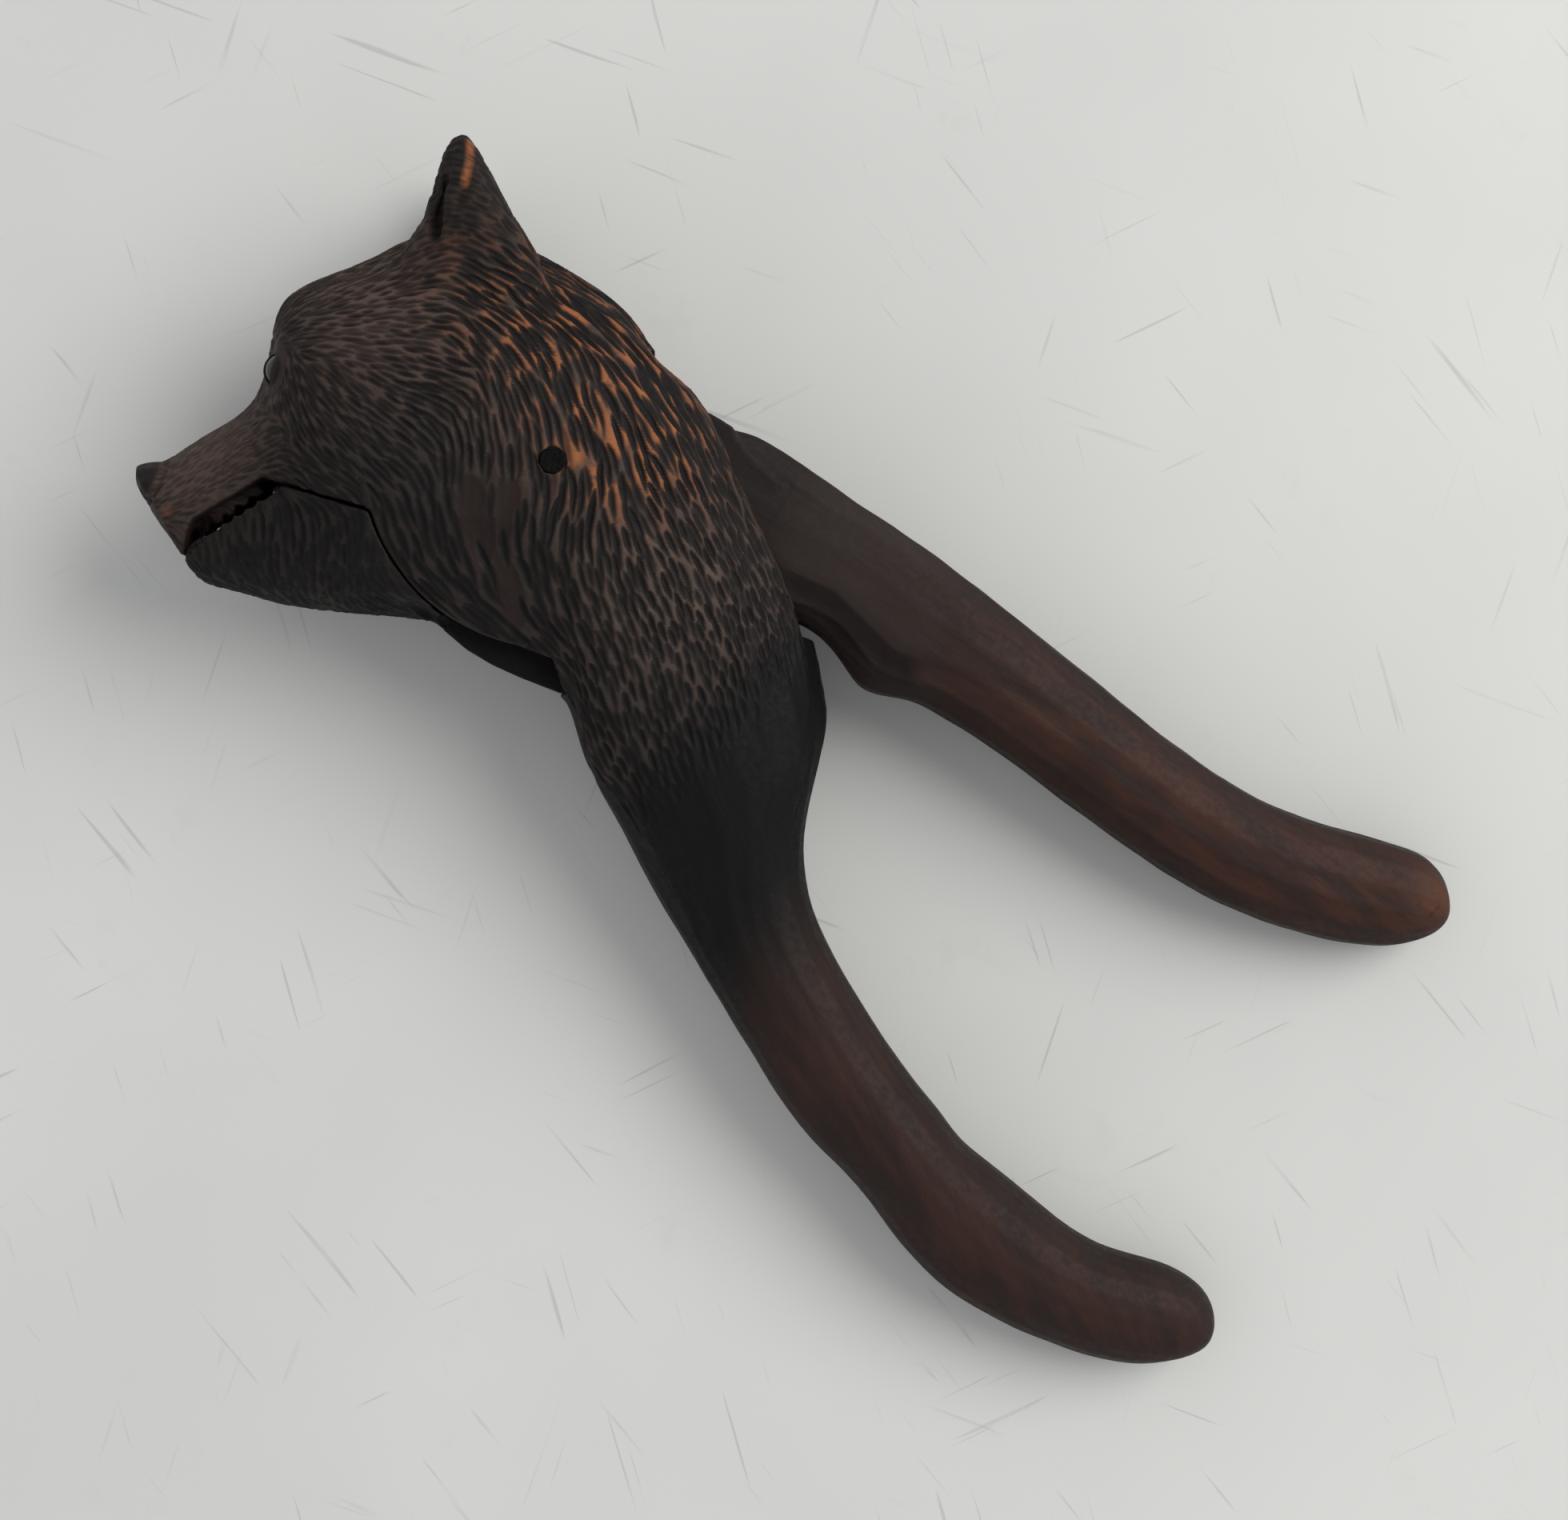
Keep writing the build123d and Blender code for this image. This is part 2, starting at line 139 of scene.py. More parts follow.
# Gouge cuts by region: centre U, V, reach, then length, width and depth of a cut
fur_cuts = [
    (-33.0, -2.0, 12.0, 4.0, 0.86, 0.27),
    (-27.0, -14.0, 10.0, 4.4, 0.90, 0.31),
    (-17.0, -2.0, 8.0, 5.4, 1.02, 0.40),
    (-14.0, 14.0, 9.0, 7.0, 1.16, 0.44),
    (2.0, 14.0, 11.0, 9.0, 1.34, 0.46),
    (6.0, 2.0, 10.0, 8.0, 1.34, 0.46),
    (20.0, 4.0, 10.0, 6.0, 1.2, 0.45),
    (32.0, -4.0, 10.0, 4.2, 1.12, 0.43),
    (28.0, -18.0, 12.0, 4.8, 1.25, 0.40),
    (4.0, -20.0, 10.0, 8.0, 1.5, 0.40),
    (-8.0, -18.0, 8.0, 7.0, 1.5, 0.36),
    (-40.0, -28.0, 9.0, 2.6, 0.7, 0.12),
    (-20.0, -34.0, 10.0, 5.4, 1.15, 0.36),
    (-34.0, 20.0, 8.0, 3.4, 0.85, 0.18),
]

# The most strokes of fur on one lever, the most places tried for them, and how near
# two may come, as shares of their length and width
most_cuts = 9500
most_tries = 70000
gap_along = 0.58
gap_across = 0.74

# How strokes differ, as shares of their region's sizes, how far they sway and bow,
# the hops in millimetres that they are drawn in, how they taper, and the share of
# their depth that is left at a sharp edge
length_range = (0.8, 1.3)
width_range = (0.85, 1.2)
depth_range = (0.7, 1.25)
most_sway = 0.09
most_bow = 0.06
stroke_hop = 0.6
taper_lean = 0.75
taper_power = 0.6
edge_share = 0.35

# The least mask that a stroke starts from, that is cut, and that counts as carved, how
# alike faces must lie to be cut by one stroke, and how softly the regions blend
start_mask = 0.05
cut_mask = 0.02
carved_mask = 0.3
least_alike = 0.2
lie_blend = 0.5
size_blend = 0.05

# The soft unevenness of a surface cut by hand: depth, then size on head and jaw
hand_depth = 0.09
head_wave = 9.0
jaw_wave = 10.0
wave_count = 9
wave_range = (0.7, 1.4)

# Ovals: middle U, V, half length, half width and angle. The leaf-shaped cuts are
# smooth hollows in the cheek
leaf_cuts = [
    (-3.4, -13.2, 6.6, 2.6, -42.0),
    (-0.8, -9.4, 4.6, 1.8, -62.0),
    (6.4, -18.6, 5.6, 2.2, -38.0),
]
leaf_depth = 0.42
leaf_power = 0.7
leaf_rim = (0.85, 1.15)
leaf_smooth = 0.85
nose_pad = (-45.7, -37.2, 3.1, 1.9, -66.0)
pad_height = 1.25
pad_rise = 0.3
palate = (-33.5, -34.0, 9.5, 4.2, 70.0)

# Lines cut with the point of the knife, seen from the side: their points U, V, then
# width, depth and the share that tapers at each end
nose_pad_line = (
    [(-44.9, -33.2), (-43.6, -35.0), (-43.0, -37.2), (-42.6, -40.6)], 0.6, 0.55, 0.1
)
nostril_line = ([(-44.6, -38.2), (-43.6, -39.3), (-42.2, -39.8)], 0.75, 1.0, 0.3)
lip_line = (
    [(-31.6, -25.2), (-34.4, -31.4), (-36.7, -36.6), (-37.2, -40.2)], 0.6, 0.2, 0.15
)
muzzle_line = ([(-39.4, -19.6), (-37.0, -23.2), (-32.4, -25.6)], 0.6, 0.22, 0.15)
ear_line = (
    [(-36.9, 24.0), (-36.0, 20.4), (-33.6, 16.6), (-31.6, 13.6)], 1.25, 1.5, 0.3
)
neck_bevel = ([(47.8, 0.6), (51.8, -3.2), (55.6, -9.6), (58.4, -16.5)], 1.7, 0.45, 0.2)
handle_edge = [(33.0, 5.8), (44.0, 8.3), (56.0, 6.8), (62.0, 8.6)]
handle_bevel = (handle_edge, 2.4, 0.6, 0.2)
# Not a cut: a band of painted shade along the handle's lower bevel, its share given in place of
# a depth
handle_shade = (handle_edge, 3.0, 1.0, 0.2)
handle_crease = ([(57.0, 6.6), (62.9, 10.0), (74.0, 15.2), (90.0, 15.9)], 1.8, 0.16, 0.3)

# The raised rim of the ear and the rubbed streak on it: points U, V and half width
ear_ridge = ([(-37.4, 28.4), (-35.5, 25.0), (-33.6, 20.0), (-31.9, 15.6)], 1.2)
ear_streak = ([(-36.4, 28.6), (-34.9, 26.6), (-33.4, 23.4)], 0.8)
ear_rise = 0.35

# Corners of the outline: place U, V, reach, and how far each is drawn in
crown_corner = ((2.4, 22.7), 4.5, 0.9)
throat_corner = ((23.5, -27.1), 3.2, 1.0)
shoulder_corner = ((17.8, 21.0), 2.2, 0.5)
shoulder_dip = ((20.8, 18.8), 2.6, -0.8)

# The front of the lower lip, raised to close the mouth: place U, V and reach
lip_front = (-33.4, -40.4, 2.0, 2.0)
lip_rise = 0.75

# The eyes: where a bead sits, which way it looks and how the lids lie round it
eye_at = (-38.4, -13.0, 9.9)
eye_out = (-0.8, -0.3, 0.5)
eye_along = (0.41, -0.91, 0.0)
eye_radius = 2.6
eye_hollow = 5.6
hollow_depth = 0.45
hollow_back = -1.0
hollow_rim = (0.15, 0.5)
lid_length = 2.3
lid_height = 1.15
lid_reach_along = 4.6 * 1.1
lid_reach_across = 4.6 * 0.8
lid_gap = 0.16
lid_swell = 0.22
lid_sink = 0.35
lid_pinch = 0.6
lid_tuck = 0.12
lid_blend = (0.1, 0.85)
lid_end = (0.8, 1.0)
lid_swell_run = 2.2
dome_over_skin = 0.2
skin_sink = 0.05
skin_ahead = 2.0
lid_rings = 9
lid_turns = 64

# The plugs over the pin: piece, CAD node, seed and how far it may stand proud
plugs = [
    ("plug_knob_left", "pin_plug_left", 31, 0.5),
    ("plug_knob_right", "pin_plug_right", 33, 0.0),
]
plug_depth = 1.2
plug_swell = 0.12
plug_lowest = -0.1
plug_broad, plug_broad_size = 0.20, 1.7
plug_fine, plug_fine_size = 0.10, 0.8

# Where the colours lie, each spot with its place U, V, reach both ways and share
bare_spots = [
    (-32, 2, 13, 13, 0.95), (-41, -28, 8, 12, 0.9), (-2, 10, 17, 12, 0.75),
    (24, -3, 14, 12, 0.75), (-34, 23, 8, 8, -0.45),
]
crown_spots = [(-4, 14, 16, 8, 1.0), (6, 7, 9, 7, 0.8)]
# The first lightens the neck; the second, at the cheek's edge, is a painted highlight
neck_spots = [(23, -5, 12, 10, 1.0), (-11, 1, 5, 9, 0.6)]
# Painted shade over the lower cheek, on the side turned from the window
cheek_shade = [(-12, -16, 20, 11, 0.42)]
# Darker over the ear
ear_darkening = [(-34, 23, 8, 8, 0.3)]
lip_chip = [(-39.5, -39.2, 0.7, 0.7, 1.0)]
worn_tip = [(145, 30.5, 5, 4, 0.22)]

# How deep a cut is where its painted shade begins, and how much deeper it is when quite black,
# where the painted highlight of a ridge ends and where no orange is left
black_from = 0.05
black_within = 0.27
ridge_within = 0.10
orange_within = 0.24

# Shares of the colours. The black of the palate, nostril, grip root, lips, jaw and bevel is
# painted shade; that of the neck and nose pad is the wood's own
neck_soot = 0.97
palate_shade = 0.2
nostril_shade = 1.5
pad_soot = 0.75
streak_orange = 0.8
chip_orange = 0.35
root_shade = 0.3
lips_shade = 0.55
jaw_shade = 0.5
bevel_shade = 0.7
grip_bare = 0.30
crown_gain = 1.7
orange_gain = 1.1
tan_ridges = 0.35
tan_strokes = 0.55
tan_tone = 0.66
# The first share is wear on the grips; the second and the power paint a highlight on their broad
# faces
wear_least, sheen_more = 0.15, 0.85
sheen_power = 1.5
leaf_wear = 0.4
ridge_least, ridge_more = 0.25, 0.5
rubbing_size = 5.0
rubbing_rise = (-0.7, 0.35)

# Colours of the wood
mark_names = ("bare", "ridge", "wear_and_sheen", "black_and_shade", "tan", "rust", "depth")
stain_dark = (0.0145, 0.0105, 0.0094)
stain_brown = (0.059, 0.0375, 0.0312)
# Painted highlight on the uncut ridges between the fur's cuts
ridge_highlight_brown = (0.092, 0.063, 0.052)
# Black of the neck and nose pad, and painted shade in the slot, the mouth, the nostril, the
# ear's hollow, over the lower cheek and the jaw, along the grip's bevel and round the eyes
black_and_shade_colour = (0.0022, 0.0021, 0.0025)
tan_brown = (0.120, 0.088, 0.068)
rubbed_orange = (0.275, 0.096, 0.035)
# Painted shade at the bottom of the cuts
cut_shade_black = (0.0030, 0.0026, 0.0026)
dust_grey = (0.10, 0.085, 0.072)
# The grips' reddish wear, which their broad faces also take as a painted highlight
head_wear_and_sheen = (0.0330, 0.0145, 0.0112)
jaw_wear_and_sheen = (0.0460, 0.0180, 0.0125)

# Which way the grain runs on each lever, in radians
head_grain = (0.0, 0.0, -0.45)
jaw_grain = (0.0, 0.0, 0.08)

# The wood's noises: scale, detail and roughness
broad_noise = (55.0, 3.0)
fine_noise = (900.0, 5.0, 0.6)
speck_noise = (2600.0, 3.0, 0.7)
fibre_noise = (300.0, 6.0, 0.62)
grain_stretch = (6.0, 1.0, 1.0)

# How a noise thins out a colour or changes the gloss: two of its levels, then what
# each gives, 0 and 1 where that isn't said
bare_patches = (0.3, 0.7, 1.0, 0.72)
ridge_patches = (0.25, 0.75, 0.35, 1.0)
wear_and_sheen_patches = (0.36, 0.62, 0.3, 1.0)
tan_patches = (0.38, 0.6)
rust_patches = (0.22, 0.52)
speck_patches = (0.70, 0.79, 0.0, 0.2)
gloss_patches = (0.25, 0.75, 0.54, 0.72)
mottle_patches = (0.3, 0.7)
cut_share = 0.9
wear_gloss = -0.05
wood_shine = 0.15

# Bump: distance in metres and strength
fibre_bump = (0.00036, 0.6)
speck_bump = (0.00006, 0.4)
mottle_bump = (0.0001, 0.4)
mottle_noise = (900.0, 4.0)
mottle_dark = 0.55

# Colours of the small pieces and the table
filler_black = (0.0040, 0.0036, 0.0036)
bead_brown = (0.010, 0.007, 0.006)
steel_grey = (0.42, 0.41, 0.40)
table_dark = (0.63, 0.63, 0.612)
table_light = (0.675, 0.675, 0.655)
scratch_grey = (0.38, 0.38, 0.37)
smudge_grey = (0.45, 0.44, 0.42)

# The table's half side in metres, and its scratches: direction in radians, fineness
table_half = 1.2
scratches = [(0.3, 60.0), (1.1, 75.0), (1.9, 50.0), (2.5, 85.0), (2.9, 66.0)]
scratch_stretch = (26.0, 1.0, 1.0)
scratch_fineness = 11
scratch_levels = (0.70, 0.74)
scratch_patches = (0.46, 0.60)
scratch_share = 0.45
smudge_noise = (38.0, 6.0, 0.75)
smudge_levels = (0.58, 0.75)
smudge_share = 0.16
table_noise = (9.0, 3.0)
table_rough = 0.45

# The camera looks straight down, turned so that the handles run to the lower right
camera_height = 0.420
camera_from_pivot = (0.05335, -0.01338)
image_right = Vector((0.7934, 0.6088, 0.0))
image_up = Vector((-0.6088, 0.7934, 0.0))
lens_mm = 62.1
sensor_mm = 36.0
nearest_seen = 0.01

# One large soft window, and a room that is darker overhead than at the sides
window_at = (0.75, 1.35, 1.45)
window_aim = (0.03, 0.0, 0.02)
window_size = 1.6
window_power = 32.5
window_tint = (1.0, 0.985, 0.965)
room_tint = (0.97, 0.99, 1.0, 1.0)
room_fade = {"From Min": 0.45, "From Max": 0.9, "To Min": 0.84, "To Max": 0.36}


def to_carving(points):
    """Points in the row frame, in metres, as U, V, W in millimetres."""
    return (np.asarray(points) - pivot_at) @ turn_in.T * mm_per_m


def to_row(points):
    """Points U, V, W in millimetres, back in the row frame in metres."""
    return np.asarray(points) / mm_per_m @ turn_in + pivot_at


def add_object(name, data):
    """A new object in the scene's own collection."""
    made = bpy.data.objects.new(name, data)
    bpy.context.scene.collection.objects.link(made)
    return made


def shade_mesh(mesh, attributes):
    """Gives a mesh smooth shading, and the values that its colours are mixed from."""
    for label, values in attributes.items():
        layer = mesh.attributes.new(label, "FLOAT", "POINT")
        layer.data.foreach_set("value", values.astype(np.float32))
    mesh.polygons.foreach_set("use_smooth", [True] * len(mesh.polygons))
    mesh.update()


class Carving:
    """A fine mesh of one CAD node, with what its vertices are worked from."""

    def __init__(self, node, name, voxel, rough=rough_voxel):
        self.name = name
        copy = frame["nodes"][node].data.copy()
        work = bmesh.new()
        work.from_mesh(copy)
        bmesh.ops.remove_doubles(work, verts=work.verts, dist=weld_gap)
        work.to_mesh(copy)
        work.free()
        self.take(copy, rough)
        self.mark_edges()
        self.round_flats()
        self.write_places()
        self.take(self.mesh, voxel)
        self.mark_edges()

    def take(self, source, voxel):
        """Remeshes the source with even little faces and reads it in."""
        raw = add_object(self.name + "_raw", source)
        remesh = raw.modifiers.new("remesh", "REMESH")
        remesh.mode = "VOXEL"
        remesh.voxel_size = voxel / mm_per_m
        graph = bpy.context.evaluated_depsgraph_get()
        self.mesh = bpy.data.meshes.new_from_object(raw.evaluated_get(graph))
        bpy.data.objects.remove(raw)
        bpy.data.meshes.remove(source)
        self.mesh.name = self.name
        self.mesh.materials.clear()
        self.count = len(self.mesh.vertices)
        flat = np.empty(self.count * 3, np.float32)
        self.mesh.vertices.foreach_get("co", flat)
        self.at = to_carving(flat.reshape(-1, 3).astype(float))
        ends = np.empty(len(self.mesh.edges) * 2, np.int32)
        self.mesh.edges.foreach_get("vertices", ends)
        self.ends = ends.reshape(-1, 2)
        self.valence = np.bincount(self.ends.ravel(), minlength=self.count).astype(float)
        self.loops = np.empty(len(self.mesh.loops), np.int32)
        self.mesh.loops.foreach_get("vertex_index", self.loops)
        self.facing = self.normals()

    def write_places(self):
        """Puts the worked places of the vertices back into the mesh."""
        places = to_row(self.at).astype(np.float32)
        self.mesh.vertices.foreach_set("co", places.ravel())
        self.mesh.update()

    def normals(self):
        """Vertex normals from the diagonals of the four-sided faces."""
        quads = self.loops.reshape(-1, 4)
        corners = self.at[quads]
        across = np.cross(corners[:, 2] - corners[:, 0], corners[:, 3] - corners[:, 1])
        total = np.zeros((self.count, 3))
        for corner in range(4):
            for part in range(3):
                total[:, part] += np.bincount(
                    quads[:, corner], weights=across[:, part], minlength=self.count
                )
        return total / np.maximum(np.linalg.norm(total, axis=1), 1e-9)[:, None]

    def mean_of_neighbours(self, values):
        """At each vertex the mean of the values at its neighbours."""
        first, second = self.ends[:, 0], self.ends[:, 1]
        columns = values.reshape(self.count, -1)
        result = np.empty_like(columns)
        for part in range(columns.shape[1]):
            column = columns[:, part]
            total = np.bincount(first, weights=column[second], minlength=self.count)
            total += np.bincount(second, weights=column[first], minlength=self.count)
            result[:, part] = total / self.valence
        return result.reshape(values.shape)

    def grown(self, mask, rings):
        """A mask from 0 to 1, spread over so many rings of neighbours."""
        first, second = self.ends[:, 0], self.ends[:, 1]
        for _ in range(rings):
            wider = mask.copy()
            np.maximum.at(wider, first, mask[second])
            np.maximum.at(wider, second, mask[first])
            mask = wider
        return mask

    def mark_edges(self):
        """Finds the sharp edges of the sawn faces, with a few rings round them."""
        first, second = self.ends[:, 0], self.ends[:, 1]
        bend = 1 - np.einsum("ij,ij->i", self.facing[first], self.facing[second])
        bent = (bend > sharp_bend).astype(float)
        sharp = np.zeros(self.count)
        np.maximum.at(sharp, first, bent)
        np.maximum.at(sharp, second, bent)
        self.sharp = self.grown(sharp, edge_rings)

    def round_flats(self):
        """Takes the narrow flats off the surface and leaves the sawn edges sharp."""
        free = 1 - self.mean_of_neighbours(self.sharp)
        for _ in range(rounding_turns):
            for share in rounding_shares:
                drawn = self.mean_of_neighbours(self.at) - self.at
                self.at = self.at + drawn * (share * free)[:, None]
        self.facing = self.normals()

    def finish(self, body, nodes, attributes):
        """The carved piece as an object that stands for its CAD nodes."""
        self.write_places()
        shade_mesh(self.mesh, attributes)
        piece = add_object(self.name, self.mesh)
        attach(piece, body)
        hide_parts(*nodes)
        return piece


def step(low, high, value):
    """0 below low, 1 above high and a smooth rise between."""
    share = np.clip((value - low) / (high - low), 0, 1)
    return share * share * (3 - 2 * share)


def crest(gap, reach):
    """1 where the gap is nothing, falling round to 0 at the reach."""
    return np.clip(1 - (gap / reach) ** 2, 0, 1)


def bump_at(points, u, v, reach_u, reach_v):
    """1 at a place in the side view, falling to 0 around it."""
    off_u, off_v = (points[:, 0] - u) / reach_u, (points[:, 1] - v) / reach_v
    return np.exp(-off_u ** 2 - off_v ** 2)


def spread(points, spots):
    """The sum of some spots of colour, each with its own share."""
    return sum(share * bump_at(points, *spot) for *spot, share in spots)


def in_oval(points, u, v, half_length, half_width, angle):
    """0 at the middle of an oval in the side view, 1 on its rim."""
    turn = math.radians(angle)
    du, dv = points[:, 0] - u, points[:, 1] - v
    along = du * math.cos(turn) + dv * math.sin(turn)
    across = dv * math.cos(turn) - du * math.sin(turn)
    return (along / half_length) ** 2 + (across / half_width) ** 2


def off_line(points, line):
    """How far each point is from a line of points U, V, and how far along it."""
    line = np.array(line, float)
    starts, spans = line[:-1], np.diff(line, axis=0)
    best = np.full(len(points), np.inf)
    run = np.zeros(len(points))
    for number, (start, span) in enumerate(zip(starts, spans)):
        share = np.clip((points[:, :2] - start) @ span / (span @ span), 0, 1)
        gap = np.linalg.norm(points[:, :2] - start - share[:, None] * span, axis=1)
        closer = gap < best
        best[closer] = gap[closer]
        run[closer] = (number + share[closer]) / len(starts)
    return best, run


def carved_line(carving, line, width, depth, ends):
    """A tapering groove along a line in the side view, right round the form."""
    gap, run = off_line(carving.at, line)
    taper = step(0, ends, run) * step(0, ends, 1 - run)
    return depth * taper * crest(gap, width)


def draw_in(carving, corner, reach, amount):
    """Draws a corner of the outline in towards the pivot, the cut faces with it."""
    inward = -np.array([*corner, 0.0]) / math.hypot(*corner)
    middle = 1 - step(*corner_half, np.abs(carving.at[:, 2]))
    pull = amount * middle * bump_at(carving.at, *corner, reach, reach)
    carving.at = carving.at + inward * pull[:, None]


def waves(points, size, seed):
    """Soft random waves from -1 to 1, so many millimetres from crest to crest."""
    draw = random.Random(seed)
    total = np.zeros(len(points))
    for _ in range(wave_count):
        way = np.array([draw.gauss(0, 1) for _ in range(3)])
        way *= 2 * math.pi / size * draw.uniform(*wave_range) / np.linalg.norm(way)
        total += np.sin(points @ way + draw.uniform(0, 2 * math.pi))
    return total / (wave_count / 2)


# The fur, cut stroke by stroke


lie_at = np.array([row[:2] for row in fur_lie])
lie_angle = np.radians([row[2] for row in fur_lie])
lie_way = np.stack([np.cos(lie_angle), np.sin(lie_angle)], axis=1)


def fur_way(carving):
    """The direction of the fur at each vertex, flat on the surface there."""
    gaps = ((carving.at[:, None, :2] - lie_at[None]) ** 2).sum(axis=2) + lie_blend
    weights = 1 / gaps ** 2
    way = weights @ lie_way
    way /= np.maximum(np.linalg.norm(way, axis=1), 1e-9)[:, None]
    ways = np.column_stack([way, np.zeros(len(way))])
    ways -= carving.facing * np.einsum("ij,ij->i", ways, carving.facing)[:, None]
    return ways / np.maximum(np.linalg.norm(ways, axis=1), 1e-6)[:, None]


def cut_sizes(points):
    """Length, width and depth of a gouge cut at each point."""
    rows = np.array(fur_cuts)
    gaps = ((points[:, None, :2] - rows[None, :, :2]) ** 2).sum(axis=2)
    weights = 1 / (gaps / rows[None, :, 2] ** 2 + size_blend) ** 2
    weights /= weights.sum(axis=1, keepdims=True)
    return weights @ rows[:, 3:6]


def fur_mask(carving):
    """1 where the fur is carved, and 0 on the sawn faces, lips and handles."""
    u, v, w = carving.at.T
    mask = 1 - step(fur_end_u, fur_end_u + fur_fade, u - fur_slope * v)
    slot_u = np.interp(v, slot_line_v, slot_line_u)
    in_slot = (np.abs(w) < slot_half + fur_clear_w) & (u > slot_u - fur_clear_u)
    mask[in_slot & (u < slot_end_u)] = 0
    front, back = seam_ends_u
    on_seam = (np.abs(np.hypot(u, v) - seam_radius) < seam_half) & (v < seam_top_v)
    mask[on_seam & (u > front) & (u < back)] = 0
    mask[carving.sharp > 0.5] *= edge_share
    return mask


def pick_places(carving, ways, sizes, mask, draw):
    """The vertices that strokes start from, in random order and not too near."""
    candidates = [int(i) for i in np.flatnonzero(mask > start_mask)]
    draw.shuffle(candidates)
    taken, taken_at = [], np.empty((most_cuts, 3))
    for index in candidates[:most_tries]:
        place = carving.at[index]
        length, width, _ = sizes[index]
        gaps = taken_at[:len(taken)] - place
        near = gaps[np.einsum("ij,ij->i", gaps, gaps) < length * length]
        along = near @ ways[index]
        across = np.einsum("ij,ij->i", near, near) - along ** 2
        along_share = (along / (gap_along * length)) ** 2
        if (along_share + across / (gap_across * width) ** 2 < 1).any():
            continue
        taken_at[len(taken)] = place
        taken.append(index)
        if len(taken) >= most_cuts:
            break
    return taken


def stroke_route(carving, tree, ways, start, length, sway, bow):
    """Points of a stroke on the surface, hopping both ways from where it starts."""
    route = [carving.at[start]]
    for sign in (1, -1):
        place, here = carving.at[start], start
        for count in range(max(2, int(length / 2 / stroke_hop))):
            aside = np.cross(carving.facing[here], ways[here])
            way = ways[here] * sign + aside * (sway + bow * sign * count)
            place = place + way * stroke_hop
            here = tree.find(place)[1]
            out = carving.facing[here]
            place = place - out * np.dot(place - carving.at[here], out)
            if sign > 0:
                route.append(place)
            else:
                route.insert(0, place)
    return np.array(route)


def stroke_spots(tree, route, reach):
    """The vertices near a stroke, found in small balls along it."""
    spots = set()
    for place in route[::2]:
        spots.update(found[1] for found in tree.find_range(place, reach))
    return np.fromiter(spots, int, len(spots))


def cut_stroke(carving, tree, start, route, width, depth):
    """The vertices that a stroke cuts, and how deep it goes at each."""
    near = stroke_spots(tree, route, 0.5 * width + stroke_hop)
    starts, spans = route[:-1], np.diff(route, axis=0)
    squares = np.maximum((spans ** 2).sum(axis=1), 1e-9)
    past = carving.at[near][:, None] - starts[None]
    share = np.clip(np.einsum("ikj,kj->ik", past, spans) / squares, 0, 1)
    gaps = np.linalg.norm(past - share[..., None] * spans[None], axis=2)
    best = gaps.argmin(axis=1)
    rows = np.arange(len(near))
    off = gaps[rows, best]
    run = (best + share[rows, best]) / len(spans)
    taper = np.clip(np.sin(np.pi * run ** taper_lean), 0, 1) ** taper_power
    half = width * 0.5 * taper + 1e-3
    deep = depth * taper * (1 - (off / half) ** 2)
    alike = np.einsum("ij,j->i", carving.facing[near], carving.facing[start])
    inside = (off < half) & (alike > least_alike)
    return near[inside], deep[inside]


def gouge(carving, tree, mask, seed):
    """Cuts the fur stroke by stroke: how deep each vertex lies, and its stroke's tone."""
    draw = random.Random(seed)
    ways = fur_way(carving)
    sizes = cut_sizes(carving.at)
    cut = np.zeros(carving.count)
    tone = np.zeros(carving.count)
    for index in pick_places(carving, ways, sizes, mask, draw):
        length, width, depth = sizes[index]
        length *= draw.uniform(*length_range)
        width *= draw.uniform(*width_range)
        depth *= draw.uniform(*depth_range) * mask[index]
        sway = draw.uniform(-most_sway, most_sway)
        bow = draw.uniform(-most_bow, most_bow)
        shade = draw.random()
        route = stroke_route(carving, tree, ways, index, length, sway, bow)
        near, deep = cut_stroke(carving, tree, index, route, width, depth)
        deeper = deep > cut[near]
        cut[near[deeper]] = deep[deeper]
        tone[near[deeper]] = shade
    return cut * (mask > cut_mask), tone


# Materials


